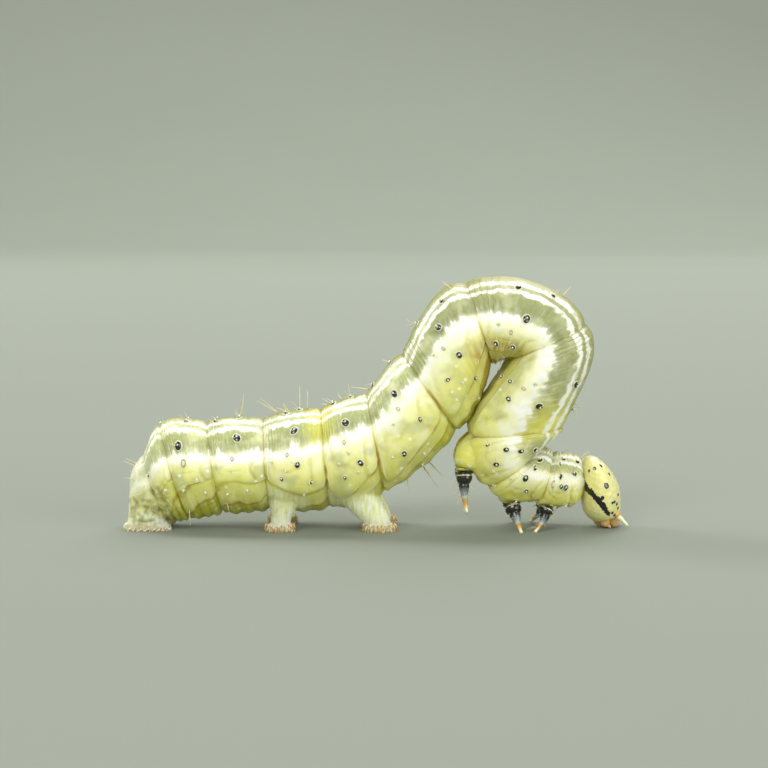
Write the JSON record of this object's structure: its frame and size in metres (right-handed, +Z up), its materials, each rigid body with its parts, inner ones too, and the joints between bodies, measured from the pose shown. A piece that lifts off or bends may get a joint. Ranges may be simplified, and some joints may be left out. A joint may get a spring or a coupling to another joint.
{
  "type": "moth larva",
  "caption": "Golden twin-spot moth larva, a smooth green looper standing on its soft hind legs with its back arched in a tall loop and its head turned down to the floor.",
  "frame": {"origin": "on the floor, midway between the tail and the tips of the antennae, in the plane of symmetry", "axes": "+X towards the head, +Y to the left side of the animal, +Z up"},
  "size_m": [0.0254, 0.0054, 0.0127],
  "materials": {
    "skin": "smooth moist translucent pale green skin with white lines, a broad white band and small black spots",
    "horn": "glossy pale yellow horn of the head, with one dark stripe each side",
    "dark_horn": "glossy olive black horn rings with amber tips"
  },
  "bodies": {
    "root": {"head": "horn", "prothorax": "skin", "mesothorax": "skin", "metathorax": "skin", "abdomen_1": "skin", "abdomen_2": "skin", "abdomen_3": "skin", "abdomen_4": "skin", "abdomen_5": "skin", "abdomen_6": "skin", "abdomen_7": "skin", "abdomen_8": "skin", "abdomen_9": "skin", "abdomen_10": "skin", "leg_t1_right": "dark_horn", "leg_t2_right": "dark_horn", "leg_t3_right": "dark_horn", "proleg_a5_right": "skin", "proleg_a6_right": "skin", "clasper_right": "skin", "antenna_right": "horn", "leg_t1_left": "dark_horn", "leg_t2_left": "dark_horn", "leg_t3_left": "dark_horn", "proleg_a5_left": "skin", "proleg_a6_left": "skin", "clasper_left": "skin", "antenna_left": "horn"}
  },
  "joints": []
}
